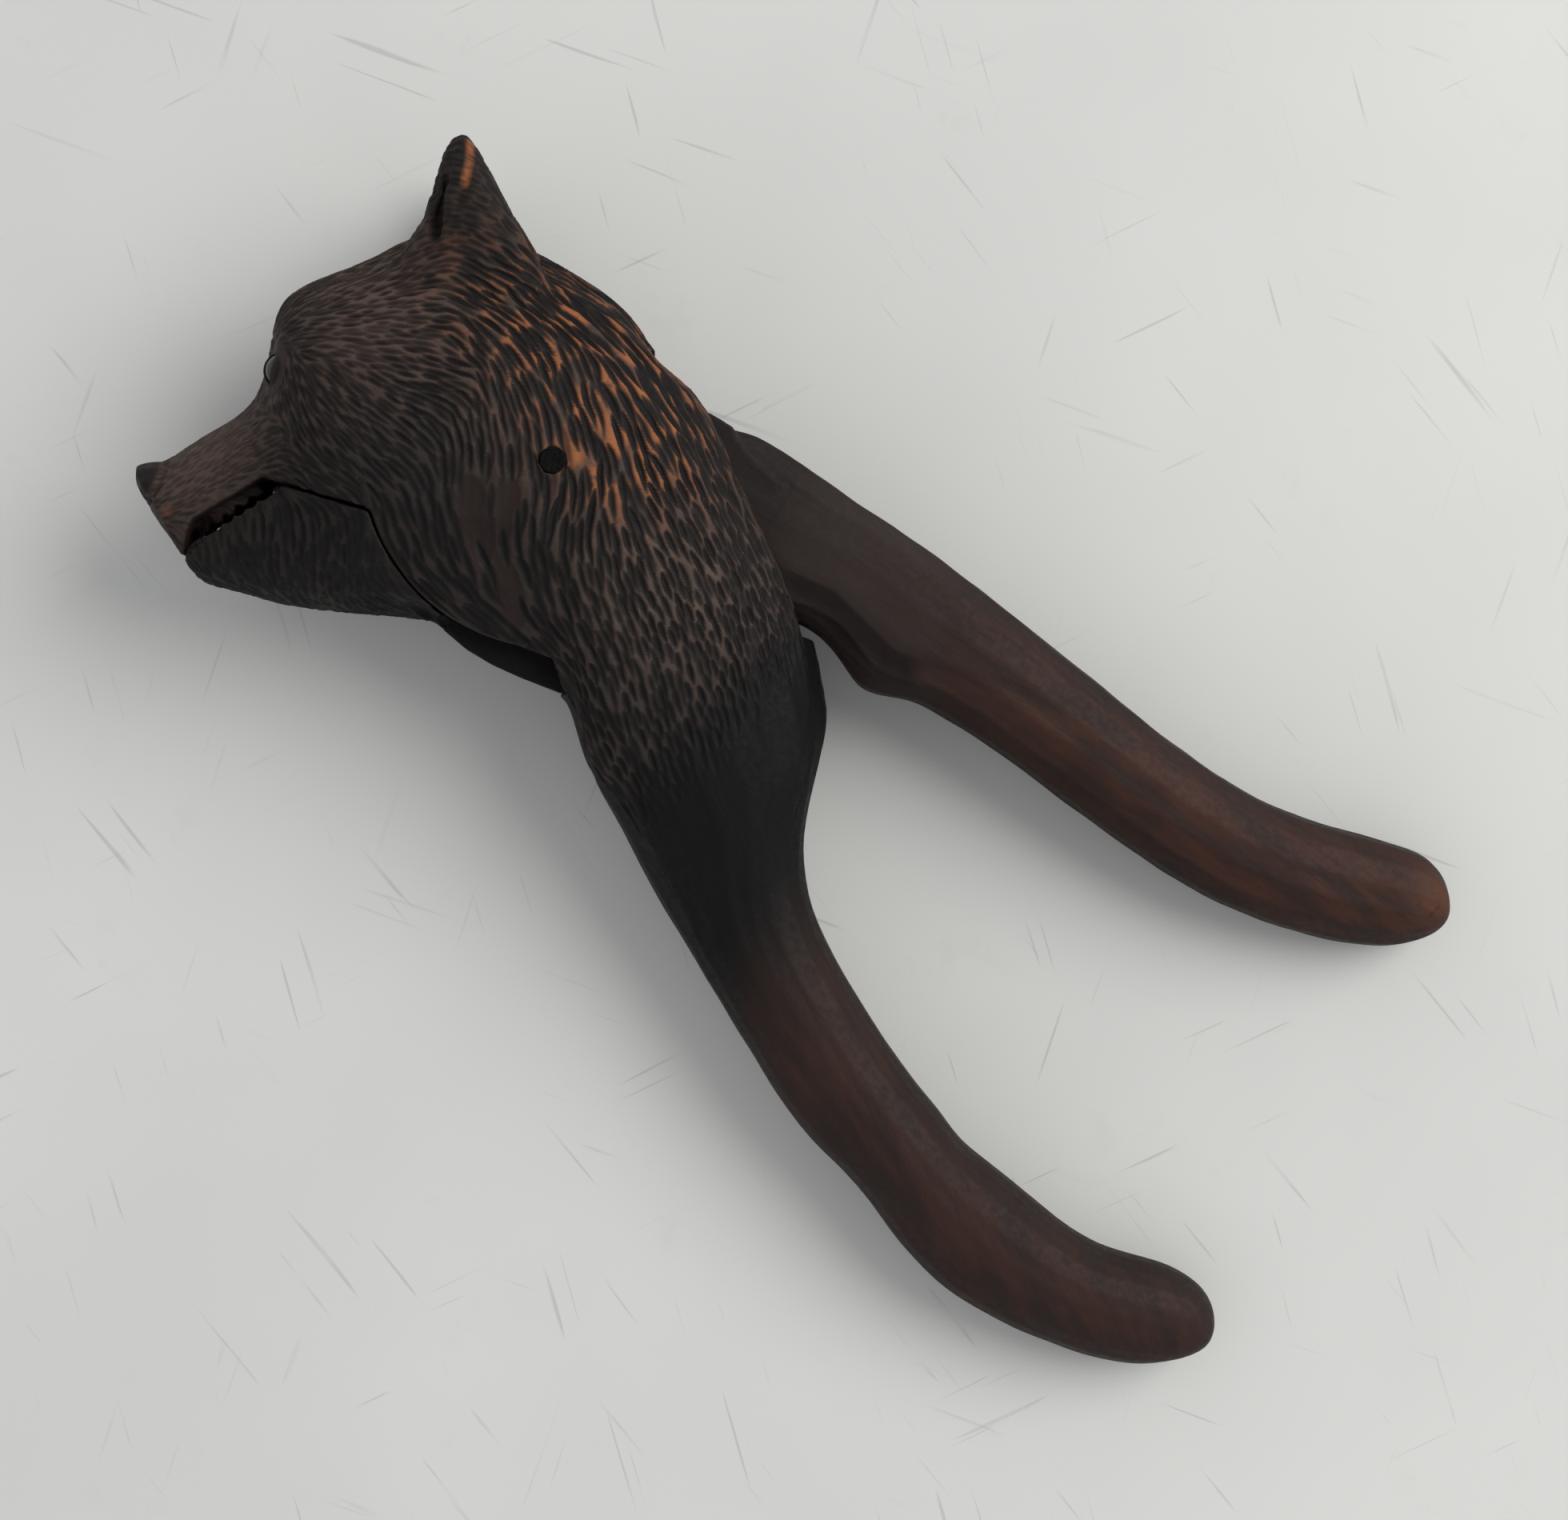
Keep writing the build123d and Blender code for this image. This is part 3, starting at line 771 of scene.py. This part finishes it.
class Shader:
    """A material built node by node."""

    def __init__(self, name):
        self.material = bpy.data.materials.new(name)
        self.material.use_nodes = True
        self.tree = self.material.node_tree
        self.tree.nodes.clear()
        out = self.tree.nodes.new("ShaderNodeOutputMaterial")
        self.surface = self.tree.nodes.new("ShaderNodeBsdfPrincipled")
        self.link(self.surface.outputs["BSDF"], out.inputs["Surface"])
        self.place = self.tree.nodes.new("ShaderNodeTexCoord").outputs["Object"]

    def link(self, source, target):
        self.tree.links.new(source, target)

    def attribute(self, name):
        node = self.tree.nodes.new("ShaderNodeAttribute")
        node.attribute_name = name
        return node.outputs["Fac"]

    def stretched(self, scale, turn):
        """Places drawn out along one direction, for grain and scratches."""
        node = self.tree.nodes.new("ShaderNodeMapping")
        node.vector_type = "TEXTURE"
        node.inputs["Scale"].default_value = scale
        node.inputs["Rotation"].default_value = turn
        self.link(self.place, node.inputs["Vector"])
        return node.outputs["Vector"]

    def noise(self, scale, detail, rough=0.55, vector=None):
        node = self.tree.nodes.new("ShaderNodeTexNoise")
        node.inputs["Scale"].default_value = scale
        node.inputs["Detail"].default_value = detail
        node.inputs["Roughness"].default_value = rough
        self.link(vector or self.place, node.inputs["Vector"])
        return node.outputs["Fac"]

    def span(self, value, low, high, to_low=0.0, to_high=1.0):
        """A smooth change from to_low to to_high as the value goes from low to high."""
        node = self.tree.nodes.new("ShaderNodeMapRange")
        node.interpolation_type = "SMOOTHSTEP"
        self.link(value, node.inputs["Value"])
        ends = {"From Min": low, "From Max": high, "To Min": to_low, "To Max": to_high}
        for name, number in ends.items():
            node.inputs[name].default_value = number
        return node.outputs["Result"]

    def maths(self, first, second, way="MULTIPLY"):
        """A socket and a number or a second socket, multiplied or as way says."""
        node = self.tree.nodes.new("ShaderNodeMath")
        node.operation = way
        self.link(first, node.inputs[0])
        if isinstance(second, float):
            node.inputs[1].default_value = second
        else:
            self.link(second, node.inputs[1])
        return node.outputs["Value"]

    def mix(self, share, first, second):
        """Two colours, each a socket or three numbers, mixed by a share."""
        node = self.tree.nodes.new("ShaderNodeMix")
        node.data_type = "RGBA"
        self.link(share, node.inputs[0])
        for socket, value in ((node.inputs[6], first), (node.inputs[7], second)):
            if isinstance(value, tuple):
                socket.default_value = (*value, 1.0)
            else:
                self.link(value, socket)
        return node.outputs[2]

    def bump(self, height, distance, strength, under=None):
        """Bump of so many metres, on top of another bump where one is given."""
        node = self.tree.nodes.new("ShaderNodeBump")
        node.inputs["Distance"].default_value = distance
        node.inputs["Strength"].default_value = strength
        self.link(height, node.inputs["Height"])
        if under is not None:
            self.link(under, node.inputs["Normal"])
        return node.outputs["Normal"]


def carved_wood(name, wear_and_sheen_colour, grain):
    """Old dark stain, black in the cuts as painted shade and lighter on the ridges as a painted
    highlight, with reddish brown where hands have rubbed the grips, lighter on their faces as a
    painted highlight.
    """
    wood = Shader(name)
    broad = wood.noise(*broad_noise)
    fine = wood.noise(*fine_noise)
    specks = wood.noise(*speck_noise)
    fibre = wood.noise(*fibre_noise, wood.stretched(grain_stretch, grain))
    marks = {label: wood.attribute(label) for label in mark_names}
    patchy = wood.maths(marks["bare"], wood.span(broad, *bare_patches))
    colour = wood.mix(patchy, stain_dark, stain_brown)
    ridge = wood.maths(marks["ridge"], wood.span(fine, *ridge_patches))
    colour = wood.mix(ridge, colour, ridge_highlight_brown)
    wear_and_sheen = wood.maths(marks["wear_and_sheen"], wood.span(fibre, *wear_and_sheen_patches))
    colour = wood.mix(wear_and_sheen, colour, wear_and_sheen_colour)
    colour = wood.mix(marks["black_and_shade"], colour, black_and_shade_colour)
    tan = wood.maths(marks["tan"], wood.span(fine, *tan_patches))
    colour = wood.mix(tan, colour, tan_brown)
    rust = wood.maths(marks["rust"], wood.span(fine, *rust_patches))
    colour = wood.mix(rust, colour, rubbed_orange)
    colour = wood.mix(wood.maths(marks["depth"], cut_share), colour, cut_shade_black)
    colour = wood.mix(wood.span(specks, *speck_patches), colour, dust_grey)
    rough = wood.span(fine, *gloss_patches)
    rough = wood.maths(rough, wood.maths(marks["wear_and_sheen"], wear_gloss), "ADD")
    normal = wood.bump(fibre, *fibre_bump)
    normal = wood.bump(specks, *speck_bump, normal)
    wood.link(colour, wood.surface.inputs["Base Color"])
    wood.link(rough, wood.surface.inputs["Roughness"])
    wood.link(normal, wood.surface.inputs["Normal"])
    wood.surface.inputs["Specular IOR Level"].default_value = wood_shine
    return wood.material


def plain_shader(name, colour, rough, metal=0.0, shine=0.5):
    """A small piece of one colour with a fine mottle."""
    shade = Shader(name)
    fine = shade.noise(*mottle_noise)
    darker = tuple(part * mottle_dark for part in colour)
    mottled = shade.mix(shade.span(fine, *mottle_patches), darker, colour)
    uneven = shade.span(fine, 0.2, 0.8, rough * 0.8, min(1.0, rough * 1.2))
    shade.link(mottled, shade.surface.inputs["Base Color"])
    shade.link(uneven, shade.surface.inputs["Roughness"])
    shade.link(shade.bump(fine, *mottle_bump), shade.surface.inputs["Normal"])
    shade.surface.inputs["Metallic"].default_value = metal
    shade.surface.inputs["Specular IOR Level"].default_value = shine
    return shade.material


def colours(carving, cut, tone, mask, marks):
    """Attributes that the wood's colours are mixed from."""
    points = carving.at
    carved = mask > carved_mask
    up = np.clip(carving.facing[:, 2], 0, 1)
    sides = np.clip(np.abs(carving.facing[:, 2]), 0, 1) ** sheen_power
    # The uncut ridges between the cuts are lighter, a painted highlight; the cuts go black,
    # painted shade
    ridge = np.clip(1 - cut / ridge_within, 0, 1) * carved
    bare = spread(points, bare_spots)
    bare = np.clip(np.maximum(bare, marks.get("bare", 0.0)), 0, 1)
    rubbed = step(*rubbing_rise, waves(points, rubbing_size, rubbing_seed))
    crown = np.clip(spread(points, crown_spots) * crown_gain, 0, 1)
    rust = crown * np.clip(orange_gain - cut / orange_within, 0, 1) * carved * rubbed
    rust = np.maximum(rust, marks.get("rust", 0.0))
    rust = np.maximum(rust, spread(points, worn_tip) * up)
    neck = spread(points, neck_spots)
    tan = ridge * neck * rubbed * tan_ridges + (tone > tan_tone) * neck * tan_strokes
    # Reddish wear on the grips, and a painted highlight on their broad faces that leaves the
    # rims darker
    wear_and_sheen = step(*grip_wear_and_sheen_u, points[:, 0]) * (wear_least + sheen_more * sides)
    wear_and_sheen = np.maximum(wear_and_sheen, leaf_wear * marks.get("leaf", 0.0))
    return {
        "depth": np.clip((cut - black_from) / black_within, 0, 1),
        "ridge": ridge * (ridge_least + ridge_more * bare),
        "wear_and_sheen": np.clip(wear_and_sheen, 0, 1),
        "rust": rust,
        "tan": np.clip(tan, 0, 1),
        "bare": bare,
        "black_and_shade": np.clip(marks["black_and_shade"], 0, 1),
    }


# The pieces


def tree_of(carving):
    """The vertices sorted by place, to find the nearest ones."""
    tree = KDTree(carving.count)
    for index, place in enumerate(carving.at):
        tree.insert(place, index)
    tree.balance()
    return tree


def eye_frame(side):
    """The bead's middle and the eye's own directions: along, across and out."""
    flip = np.array([1.0, 1.0, side])
    out = np.array(eye_out) * flip
    out /= np.linalg.norm(out)
    along = np.array(eye_along) * flip
    along -= out * (along @ out)
    along /= np.linalg.norm(along)
    return np.array(eye_at) * flip, along, np.cross(out, along), out


def eye_hollows(points):
    """1 at the middle of each eye, falling to 0 at the rim of its hollow."""
    hollows = np.zeros(len(points))
    for side in (1.0, -1.0):
        middle, _, _, out = eye_frame(side)
        gap = points - middle
        height = gap @ out
        hollow = crest(np.linalg.norm(gap - height[:, None] * out, axis=1), eye_hollow)
        hollows = np.maximum(hollows, np.where(height < hollow_back, 0.0, hollow))
    return hollows


def head_relief(head, mask):
    """The larger forms cut into the head: how deep, and the marks that colour them.
    Where these forms are smooth, the mask of the fur is taken down."""
    points = head.at
    u, v, w = points.T
    aside = np.abs(w)
    outside = (aside > slot_half + uneven_clear_w) | (u < uneven_front_u)
    outside |= u > slot_end_u
    relief = hand_depth * waves(points, head_wave, head_wave_seed) * outside

    leaf = np.zeros(head.count)
    on_cheek = (aside > cheek_from_w) & (head.facing[:, 2] * w > 0)
    for oval in leaf_cuts:
        ring = in_oval(points, *oval)
        relief += on_cheek * leaf_depth * np.clip(1 - ring, 0, 1) ** leaf_power
        leaf = np.maximum(leaf, on_cheek * (1 - step(*leaf_rim, ring)))
    mask *= 1 - leaf_smooth * leaf

    pad = np.clip(pad_height - in_oval(points, *nose_pad), 0, 1) * (u < pad_end_u)
    inner, outer = nostril_w
    nostril = carved_line(head, *nostril_line) * (aside > inner) * (aside < outer)
    relief += carved_line(head, *nose_pad_line) - pad_rise * pad + nostril
    relief += carved_line(head, *lip_line) + carved_line(head, *muzzle_line)
    mask *= 1 - np.clip(pad * 3, 0, 1)

    on_ear = (aside > ear_from_w) & (head.facing[:, 2] * w > ear_turn)
    on_ear &= v > ear_from_v
    concha = carved_line(head, *ear_line) * on_ear
    ridge_line, ridge_half = ear_ridge
    ear_edge = crest(off_line(points, ridge_line)[0], ridge_half) * on_ear
    relief += concha - ear_rise * ear_edge
    relief += carved_line(head, *neck_bevel)

    orbit = eye_hollows(points)
    relief += hollow_depth * orbit * (1 - orbit) * 2
    mask *= 1 - step(*hollow_rim, orbit)

    inside = (head.facing @ mouth_up > palate_turn) & (v < palate_end_v)
    in_mouth = inside & (u < palate_end_u) & (in_oval(points, *palate) < 1.0)
    in_slot = (aside < slot_half + slot_dark_w) & (u > slot_dark_u) & (u < slot_end_u)
    smooth_neck = step(*neck_smooth_u, u - fur_slope * v) * (1 - step(*neck_end_u, u))
    # Painted shade over the lower cheek, in the mouth, in the slot, in the nostril and the ear's
    # hollow, and darker over the ear; the smooth neck and the nose pad are black in their own
    # right
    black_and_shade = np.maximum.reduce([
        spread(points, cheek_shade),
        spread(points, ear_darkening),
        neck_soot * smooth_neck,
        palate_shade * in_mouth,
        1.0 * in_slot,
        np.clip(nostril * nostril_shade + concha, 0, 1),
        pad_soot * np.clip(pad * 2, 0, 1),
    ])
    streak_line, streak_half = ear_streak
    streak = crest(off_line(points, streak_line)[0], streak_half) * on_ear
    chip = spread(points, lip_chip) * (w > 0)
    rust = np.maximum(streak_orange * streak, chip_orange * chip)
    return relief, {"black_and_shade": black_and_shade, "rust": rust, "leaf": leaf}


def carve_head():
    """The head lever: skull, upper jaw, ears, neck and lower grip."""
    head = Carving("head_lever", "head_carving", head_voxel)
    tree = tree_of(head)
    mask = fur_mask(head)
    relief, marks = head_relief(head, mask)
    cut, tone = gouge(head, tree, mask, head_stroke_seed)
    attributes = colours(head, cut, tone, mask, marks)
    head.at = head.at - head.facing * (cut + relief)[:, None]
    draw_in(head, *crown_corner)
    draw_in(head, *throat_corner)
    piece = head.finish("head", ["head_lever"], attributes)
    wood = carved_wood("head_wood", head_wear_and_sheen, head_grain)
    piece.data.materials.append(wood)
    eyelids("eyelids_left", 1.0, head, tree, wood)
    eyelids("eyelids_right", -1.0, head, tree, wood)


def carve_jaw():
    """The jaw lever: lower jaw, tongue and upper grip."""
    jaw = Carving("jaw_lever", "jaw_carving", jaw_voxel)
    points = jaw.at
    u, v, w = points.T
    around = np.hypot(u, v)
    past_seam = seam_radius + jaw_clear
    lips = jaw.facing @ -mouth_up > lips_turn
    mask = (around > past_seam) * (v < seam_top_v) * (u < jaw_fur_end_u)
    mask = mask * np.where(jaw.sharp > 0.5, edge_share, 1.0)
    mask = mask * ~(lips & (v < lips_end_v))
    furry = mask > carved_mask

    relief = hand_depth * waves(points, jaw_wave, jaw_wave_seed)
    relief *= (u > grip_from_u) | furry
    relief += carved_line(jaw, *handle_bevel)
    relief += carved_line(jaw, *handle_crease)
    relief -= lip_rise * lips * bump_at(points, *lip_front)
    cut, tone = gouge(jaw, tree_of(jaw), mask, jaw_stroke_seed)

    tongue_reach = np.where(u > tongue_front_u, tongue_reach_back, past_seam)
    throat = (around < tongue_reach) & (v < throat_end_v) & (np.abs(w) < slot_half)
    # Painted shade on the tongue in the slot, standing for its black paint too, in a band where
    # the lever runs into the slot, inside the mouth, over the jaw's fur on the side turned from
    # the window, and along the grip's lower bevel
    black_and_shade = np.maximum.reduce([
        1.0 * throat,
        root_shade * (1 - step(*grip_root_u, u)) * (v > throat_end_v),
        lips_shade * (lips & (v < lips_dark_v) & (u < lips_dark_u)),
        jaw_shade * furry,
        bevel_shade * carved_line(jaw, *handle_shade),
    ])
    bare = grip_bare * step(*grip_bare_u, u) * (1 - step(*grip_bare_end_u, u))
    attributes = colours(jaw, cut, tone, mask, {"black_and_shade": black_and_shade, "bare": bare})
    jaw.at = jaw.at - jaw.facing * (cut + relief)[:, None]
    draw_in(jaw, *shoulder_corner)
    draw_in(jaw, *shoulder_dip)
    piece = jaw.finish("jaw", ["jaw_lever"], attributes)
    piece.data.materials.append(carved_wood("jaw_wood", jaw_wear_and_sheen, jaw_grain))


def eyelids(name, side, head, tree, wood):
    """Two lids round a bead: an almond opening that runs out into the skin."""
    middle, along, across, out = eye_frame(side)
    shell = eye_radius + lid_gap
    places = []
    for ring in range(-1, lid_rings):
        share = max(ring, 0) / (lid_rings - 1)
        for turn in range(lid_turns):
            angle = 2 * math.pi * turn / lid_turns
            edge_a = lid_length * math.cos(angle)
            edge_b = lid_height * math.sin(angle) * abs(math.sin(angle)) ** lid_pinch
            far_a = lid_reach_along * math.cos(angle)
            far_b = lid_reach_across * math.sin(angle)
            a = edge_a + (far_a - edge_a) * share
            b = edge_b + (far_b - edge_b) * share
            flat = middle + along * a + across * b
            radius = math.hypot(a, b)
            if ring < 0:
                height = math.sqrt(eye_radius ** 2 - radius ** 2) - lid_tuck
            else:
                dome = math.sqrt(max(shell ** 2 - radius ** 2, 0.0))
                near = head.at[tree.find(flat + out * skin_ahead)[1]]
                skin = float((near - middle) @ out) - skin_sink
                blend = step(*lid_blend, share)
                height = max(dome, skin - dome_over_skin) * (1 - blend) + skin * blend
                swell = lid_swell * math.sin(math.pi * min(share * lid_swell_run, 1.0))
                height += swell - lid_sink * step(*lid_end, share)
            places.append(flat + out * height)
    faces = []
    for ring in range(lid_rings):
        one, two = ring * lid_turns, (ring + 1) * lid_turns
        for turn in range(lid_turns):
            after = (turn + 1) % lid_turns
            face = (one + turn, one + after, two + after, two + turn)
            faces.append(face if side > 0 else face[::-1])
    # Painted shade, black where the lids tuck under the bead and fading outwards, and a painted
    # highlight along the rim of the opening
    black_and_shade = [1.0] + [0.7 - 0.6 * ring / lid_rings for ring in range(lid_rings)]
    ridge = [0.0, 0.5, 0.8, 0.5] + [0.1] * (lid_rings - 3)
    values = {"black_and_shade": np.repeat(black_and_shade, lid_turns), "ridge": np.repeat(ridge, lid_turns)}
    mesh = bpy.data.meshes.new(name)
    mesh.from_pydata([tuple(place) for place in to_row(np.array(places))], [], faces)
    mesh.materials.append(wood)
    shade_mesh(mesh, values)
    lids = add_object(name, mesh)
    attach(lids, "head")


def rough_plug(name, node, seed, highest):
    """A ragged knob of black filler over one end of the pin, so high at most."""
    plug = Carving(node, name, plug_voxel, plug_voxel)
    points = plug.at
    aside = np.abs(points[:, 2])
    outside = aside > aside.max() - plug_depth
    ragged = plug_swell + plug_broad * waves(points, plug_broad_size, seed)
    ragged = ragged + plug_fine * waves(points, plug_fine_size, seed + 1)
    rise = np.clip(ragged, plug_lowest, highest) * outside
    plug.at = points + plug.facing * rise[:, None]
    piece = plug.finish("head", [node], {})
    filler = plain_shader(name + "_filler", filler_black, 0.8, 0.0, 0.1)
    piece.data.materials.append(filler)


def round_bead(name, node, side, glass):
    """A smooth ball of dark glass in place of the faceted bead."""
    middle = Vector(to_row(eye_frame(side)[0]))
    radius = eye_radius / mm_per_m
    mesh = bpy.data.meshes.new(name)
    work = bmesh.new()
    bmesh.ops.create_uvsphere(work, u_segments=48, v_segments=24, radius=radius)
    bmesh.ops.translate(work, verts=work.verts, vec=middle)
    work.to_mesh(mesh)
    work.free()
    mesh.materials.append(glass)
    shade_mesh(mesh, {})
    bead = add_object(name, mesh)
    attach(bead, "head")
    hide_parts(node)


def dress_small():
    """Glass and steel on the eyes and the pin."""
    glass = plain_shader("eye_glass", bead_brown, 0.14)
    round_bead("bead_left", "eye_left", 1.0, glass)
    round_bead("bead_right", "eye_right", -1.0, glass)
    pin = frame["nodes"]["pivot_pin"].data
    pin.materials.clear()
    pin.materials.append(plain_shader("pin_steel", steel_grey, 0.4, 1.0))


# The table, the camera and the light


def floor():
    """The pale table, with fine scratches and smudges."""
    low, high = -table_half, table_half
    corners = [(low, low, 0), (high, low, 0), (high, high, 0), (low, high, 0)]
    mesh = bpy.data.meshes.new("table")
    mesh.from_pydata(corners, [], [(0, 1, 2, 3)])
    table = add_object("table", mesh)
    shade = Shader("table_top")
    broad = shade.noise(*table_noise)
    colour = shade.mix(shade.span(broad, *mottle_patches), table_dark, table_light)
    for layer, (angle, scale) in enumerate(scratches):
        along = shade.stretched(scratch_stretch, (0, 0, angle))
        line = shade.noise(scale * scratch_fineness, 1.5, 0.4, along)
        patch = shade.noise(13.0 + 5 * layer, 2.0)
        there = shade.span(patch, *scratch_patches)
        scratch = shade.maths(shade.span(line, *scratch_levels), there)
        colour = shade.mix(shade.maths(scratch, scratch_share), colour, scratch_grey)
    stain = shade.noise(*smudge_noise)
    smudge = shade.maths(shade.span(stain, *smudge_levels), smudge_share)
    colour = shade.mix(smudge, colour, smudge_grey)
    shade.link(colour, shade.surface.inputs["Base Color"])
    shade.surface.inputs["Roughness"].default_value = table_rough
    mesh.materials.append(shade.material)


def camera():
    """The photograph's camera, straight above the table."""
    data = bpy.data.cameras.new("camera")
    data.sensor_width = sensor_mm
    data.sensor_fit = "HORIZONTAL"
    data.lens = lens_mm
    data.clip_start = nearest_seen
    seen = add_object("camera", data)
    off_x, off_y = camera_from_pivot
    place = Vector((pivot.x + off_x, pivot.y + off_y, camera_height))
    back = image_right.cross(image_up)
    turned = Matrix((image_right, image_up, back)).transposed().to_4x4()
    seen.matrix_world = Matrix.Translation(place) @ turned
    bpy.context.scene.camera = seen


def light():
    """A soft window behind the ears and the light of a room."""
    data = bpy.data.lights.new("window", "AREA")
    data.shape = "DISK"
    data.size = window_size
    data.energy = window_power
    data.color = window_tint
    window = add_object("window", data)
    window.location = window_at
    shine = Vector(window_aim) - Vector(window_at)
    window.rotation_euler = shine.to_track_quat("-Z", "Y").to_euler()

    world = bpy.data.worlds.new("room")
    world.use_nodes = True
    tree = world.node_tree
    sky = tree.nodes.new("ShaderNodeTexCoord").outputs["Generated"]
    height = tree.nodes.new("ShaderNodeSeparateXYZ")
    tree.links.new(sky, height.inputs[0])
    fade = tree.nodes.new("ShaderNodeMapRange")
    for name, number in room_fade.items():
        fade.inputs[name].default_value = number
    room = tree.nodes["Background"]
    tree.links.new(height.outputs["Z"], fade.inputs["Value"])
    tree.links.new(fade.outputs["Result"], room.inputs["Strength"])
    room.inputs["Color"].default_value = room_tint
    bpy.context.scene.world = world
    bpy.context.scene.view_settings.view_transform = "Standard"


camera()
carve_head()
carve_jaw()
for plug_row in plugs:
    rough_plug(*plug_row)
dress_small()
floor()
light()

bpy.context.view_layer.update()
